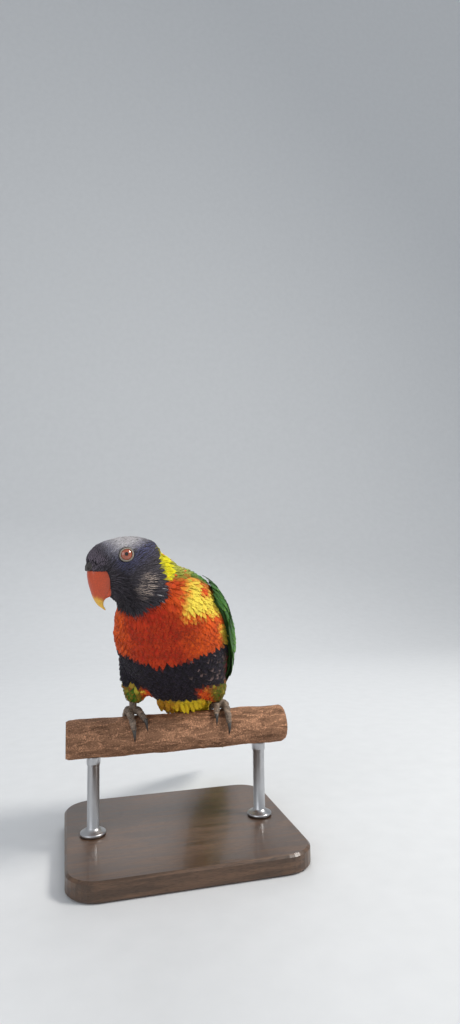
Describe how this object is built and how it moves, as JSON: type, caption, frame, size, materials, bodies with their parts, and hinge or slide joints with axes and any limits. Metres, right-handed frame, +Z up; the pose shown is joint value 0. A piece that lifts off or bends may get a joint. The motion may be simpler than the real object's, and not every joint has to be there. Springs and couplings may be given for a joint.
{
  "type": "rainbow lorikeet model",
  "caption": "Life-size still model of a rainbow lorikeet gripping a short cut branch, held by a plain display stand.",
  "frame": {"origin": "centre of the stand's flat underside", "axes": "+Z up, X along the branch, -Y towards the side the bird faces; the body is turned 25 degrees from -Y towards the bird's own right"},
  "size_m": [0.15, 0.2048, 0.2043],
  "materials": {
    "body_feather": "soft feathers",
    "nape_feather": "soft feathers",
    "head_feather": "soft feathers",
    "bill_horn": "smooth horn",
    "cere_skin": "bare skin",
    "eye_gloss": "wet gloss",
    "flight_feather": "firm feathers",
    "thigh_feather": "soft feathers",
    "foot_scale": "scaly skin",
    "claw_horn": "horn",
    "bark": "rough bark",
    "stand_wood": "dark satin wood",
    "rod_metal": "satin"
  },
  "bodies": {
    "root": {"torso": "body_feather", "neck": "nape_feather", "head": "head_feather", "bill_upper": "bill_horn", "bill_lower": "bill_horn", "cere": "cere_skin", "eye_left": "eye_gloss", "eye_right": "eye_gloss", "wing_left": "flight_feather", "wing_right": "flight_feather", "tail": "flight_feather", "thigh_left": "thigh_feather", "foot_left": "foot_scale", "toe_left_outer_front": "foot_scale", "claw_left_outer_front": "claw_horn", "toe_left_inner_front": "foot_scale", "claw_left_inner_front": "claw_horn", "toe_left_outer_back": "foot_scale", "claw_left_outer_back": "claw_horn", "toe_left_inner_back": "foot_scale", "claw_left_inner_back": "claw_horn", "thigh_right": "thigh_feather", "foot_right": "foot_scale", "toe_right_outer_front": "foot_scale", "claw_right_outer_front": "claw_horn", "toe_right_inner_front": "foot_scale", "claw_right_inner_front": "claw_horn", "toe_right_outer_back": "foot_scale", "claw_right_outer_back": "claw_horn", "toe_right_inner_back": "foot_scale", "claw_right_inner_back": "claw_horn", "perch": "bark", "stand_base": "stand_wood", "stand_rod_left": "rod_metal", "stand_rod_right": "rod_metal"}
  },
  "joints": []
}
